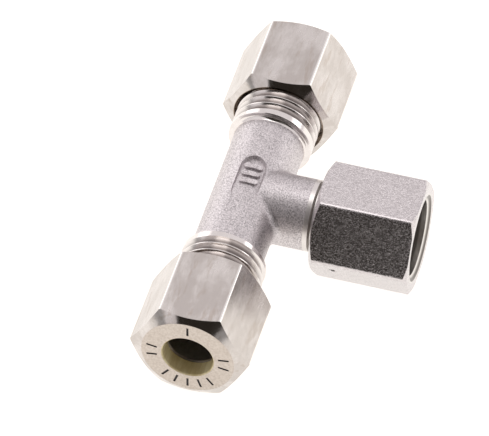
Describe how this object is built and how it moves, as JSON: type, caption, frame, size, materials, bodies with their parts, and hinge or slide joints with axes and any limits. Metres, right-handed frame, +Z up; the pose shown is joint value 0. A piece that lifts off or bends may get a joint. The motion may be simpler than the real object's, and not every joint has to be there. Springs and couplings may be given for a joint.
{
  "type": "compression tee with swivel branch nut",
  "caption": "Stainless compression tee: straight run with a hex union nut and cutting ring at each end, and a hex swivel nut on the branch.",
  "frame": {"origin": "the point where the axes of the run and the branch cross, inside the body", "axes": "+X along the branch towards its open end, +Y along the run towards the rear union nut, +Z up from the table when all three hexagons lie on a flat"},
  "size_m": [0.0385, 0.068, 0.017],
  "materials": {
    "forged_steel": "shot-blasted stainless forging, turned bright at the threads, shoulders and spigot",
    "nut_steel": "smooth turned stainless with a faint warm tint and bright edges",
    "ring_steel": "turned stainless, matt",
    "swivel_steel": "drawn stainless bar with fine grain along the flats, turned ends",
    "spring_wire": "drawn spring wire",
    "seal_rubber": "black moulded rubber"
  },
  "bodies": {
    "fitting_body": {"tee_body": "forged_steel", "branch_o_ring": "seal_rubber"},
    "rear_ring": {"rear_cutting_ring": "ring_steel"},
    "rear_nut": {"rear_union_nut": "nut_steel"},
    "front_ring": {"front_cutting_ring": "ring_steel"},
    "front_nut": {"front_union_nut": "nut_steel"},
    "branch_nut": {"swivel_nut": "swivel_steel", "nut_retaining_wire": "spring_wire"}
  },
  "joints": [
    {"name": "rear_ring_travel", "type": "slide", "parent": "fitting_body", "child": "rear_ring", "axis": [0, 1, 0], "range_m": [0, 0.00413]},
    {"name": "rear_nut_turn", "type": "hinge", "parent": "rear_ring", "child": "rear_nut", "pos_m": [0, 0.026, 0], "axis": [0, 1, 0], "range_deg": [-3, 993]},
    {"name": "front_ring_travel", "type": "slide", "parent": "fitting_body", "child": "front_ring", "axis": [0, -1, 0], "range_m": [-0.00075, 0.00337]},
    {"name": "front_nut_turn", "type": "hinge", "parent": "front_ring", "child": "front_nut", "pos_m": [0, -0.0267, 0], "axis": [0, -1, 0], "range_deg": [-183, 813]},
    {"name": "branch_nut_spin", "type": "hinge", "parent": "fitting_body", "child": "branch_nut", "pos_m": [0.0165, 0, 0], "axis": [1, 0, 0], "continuous": true}
  ],
  "couplings": [
    {"joint": "rear_nut_turn", "follows": "rear_ring_travel", "rad_per_m": 4188.8},
    {"joint": "front_nut_turn", "follows": "front_ring_travel", "rad_per_m": 4188.8}
  ]
}
